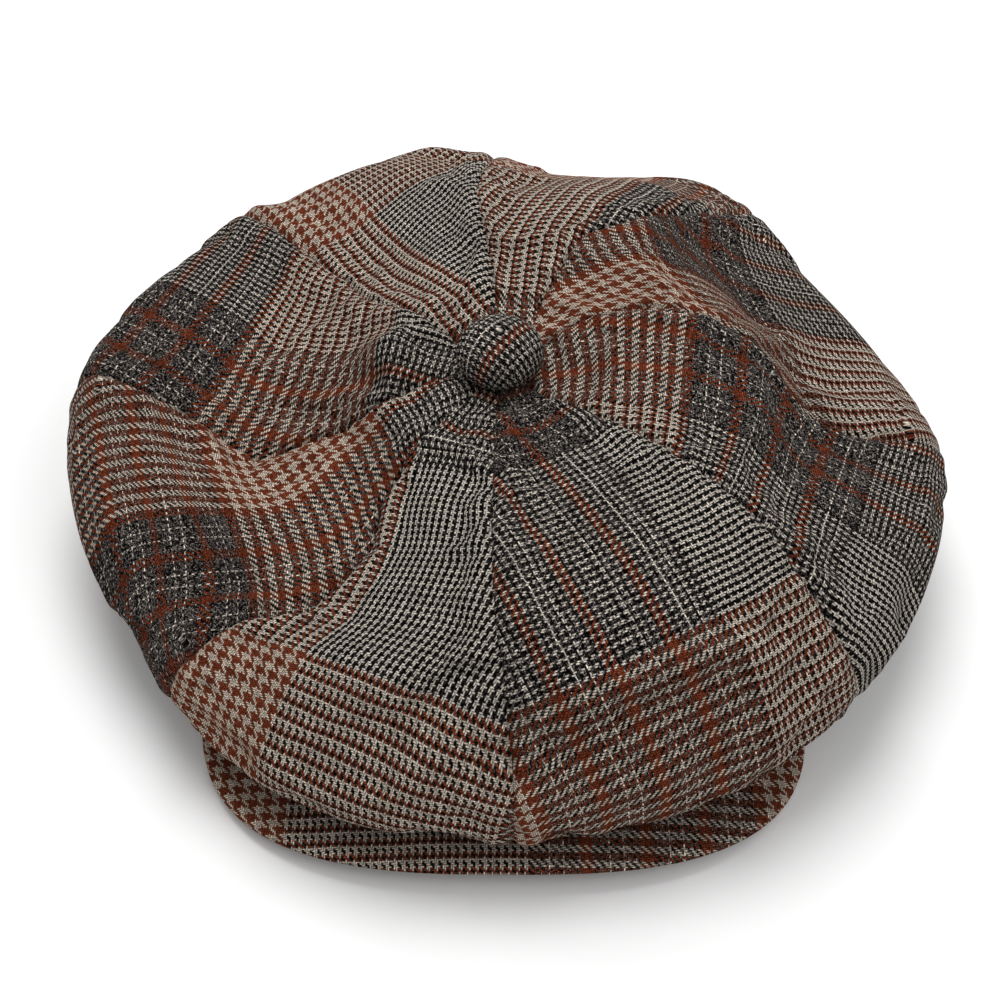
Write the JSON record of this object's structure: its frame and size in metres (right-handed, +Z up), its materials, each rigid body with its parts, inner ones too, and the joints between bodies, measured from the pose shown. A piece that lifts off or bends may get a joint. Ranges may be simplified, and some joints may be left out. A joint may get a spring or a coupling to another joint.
{
  "type": "newsboy cap",
  "caption": "Full-bodied newsboy cap in woven check: gored crown gathered under a covered button, lined, on a stiffened band with a short flexible visor.",
  "frame": {"origin": "centre of the cap's footprint seen from above, on the plane it rests on (the lower edge of the band); the axis of the head opening is 1.8 mm from it towards -X and 2.5 mm towards +Y", "axes": "+Z up through the crown button, -Y towards the visor (front), +X towards the wearer's left"},
  "size_m": [0.3112, 0.309, 0.0916],
  "materials": {
    "tweed_rust": "woven check, matt",
    "tweed_grey": "woven check, matt",
    "tweed_band": "woven check, matt",
    "tweed_visor": "woven check, matt",
    "tweed_button": "woven check, matt",
    "lining_satin": "satin weave, soft sheen",
    "sweatband_cotton": "grosgrain cotton, matt",
    "joint_tape": "plain tape, matt",
    "buckram": "open stiffened weave",
    "elastic_webbing": "ribbed webbing",
    "visor_board_plastic": "smooth moulded sheet",
    "button_steel": "pressed, brushed",
    "thread": "twisted thread",
    "washer_plastic": "moulded, matt"
  },
  "bodies": {
    "cap": {"crown_gore_front_left": "tweed_rust", "crown_gore_left_front": "tweed_grey", "crown_gore_left_back": "tweed_rust", "crown_gore_back_left": "tweed_grey", "crown_gore_back_right": "tweed_rust", "crown_gore_right_back": "tweed_grey", "crown_gore_right_front": "tweed_rust", "crown_gore_front_right": "tweed_grey", "lining_gore_front_left": "lining_satin", "lining_gore_left_front": "lining_satin", "lining_gore_left_back": "lining_satin", "lining_gore_back_left": "lining_satin", "lining_gore_back_right": "lining_satin", "lining_gore_right_back": "lining_satin", "lining_gore_right_front": "lining_satin", "lining_gore_front_right": "lining_satin", "sweatband": "sweatband_cotton", "band_stiffener": "buckram", "back_elastic": "elastic_webbing", "crown_joint_tape": "joint_tape", "head_band": "tweed_band"},
    "visor": {"visor_board": "visor_board_plastic", "visor_top_cover": "tweed_visor", "visor_under_cover": "tweed_visor"},
    "crown_apex": {"anchor_washer": "washer_plastic", "shank_thread": "thread"},
    "button": {"button_cover": "tweed_button", "button_shell": "button_steel", "button_back_plate": "button_steel", "button_shank": "button_steel"}
  },
  "joints": [
    {"name": "visor_flex", "type": "hinge", "parent": "cap", "child": "visor", "pos_m": [-0.0018, -0.0815, 0.011], "axis": [1, 0, 0], "range_deg": [-3, 8], "stiffness_Nm_per_rad": 0.15},
    {"name": "crown_press", "type": "slide", "parent": "cap", "child": "crown_apex", "axis": [0, 0, -1], "range_m": [0, 0.014], "stiffness_N_per_m": 60, "deforming": ["crown_gore_front_left", "crown_gore_left_front", "crown_gore_left_back", "crown_gore_back_left", "crown_gore_back_right", "crown_gore_right_back", "crown_gore_right_front", "crown_gore_front_right", "lining_gore_front_left", "lining_gore_left_front", "lining_gore_left_back", "lining_gore_back_left", "lining_gore_back_right", "lining_gore_right_back", "lining_gore_right_front", "lining_gore_front_right"]},
    {"name": "button_turn", "type": "hinge", "parent": "crown_apex", "child": "button", "pos_m": [-0.0018, 0.0025, 0.0805], "axis": [0, 0, 1], "range_deg": [-15, 15]}
  ]
}
